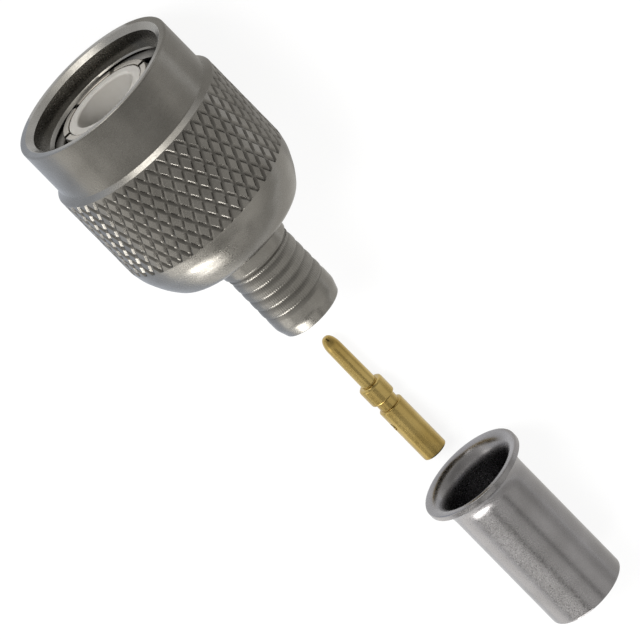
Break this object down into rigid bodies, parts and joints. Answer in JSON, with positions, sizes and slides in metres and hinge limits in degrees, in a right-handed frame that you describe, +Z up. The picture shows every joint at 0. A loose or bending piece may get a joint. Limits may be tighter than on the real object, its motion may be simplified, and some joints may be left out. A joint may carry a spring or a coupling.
{
  "type": "tnc connector",
  "caption": "Threaded coaxial crimp plug with a knurled coupling nut and ridged cable tail, laid out in line with its gold centre contact and its flared crimp ferrule.",
  "frame": {"origin": "middle of the set's bounding box, on the surface that it lies on", "axes": "+X along the plug from its mouth towards the cable end, +Z up"},
  "size_m": [0.0578, 0.0152, 0.0152],
  "materials": {
    "satin_nickel": "satin nickel plate over brass",
    "bright_nickel": "bright nickel plate over brass",
    "cool_nickel": "satin nickel plate over annealed brass",
    "white_ptfe": "slightly translucent white",
    "silicone": "matt silicone",
    "spring_steel": "bright drawn",
    "gold_plate": "satin gold plate over brass"
  },
  "bodies": {
    "root": {"connector_body": "satin_nickel", "outer_contact": "bright_nickel", "front_insulator": "white_ptfe", "rear_insulator": "white_ptfe", "gasket": "silicone", "center_contact": "gold_plate", "crimp_ferrule": "cool_nickel"},
    "retainer": {"retaining_ring": "spring_steel"},
    "nut": {"coupling_nut": "satin_nickel"}
  },
  "joints": [
    {"name": "nut_play", "type": "slide", "parent": "root", "child": "retainer", "axis": [1, 0, 0], "range_m": [-0.00025, 0.00025]},
    {"name": "nut_turn", "type": "hinge", "parent": "retainer", "child": "nut", "pos_m": [-0.0206, 0, 0.0076], "axis": [1, 0, 0], "continuous": true}
  ]
}
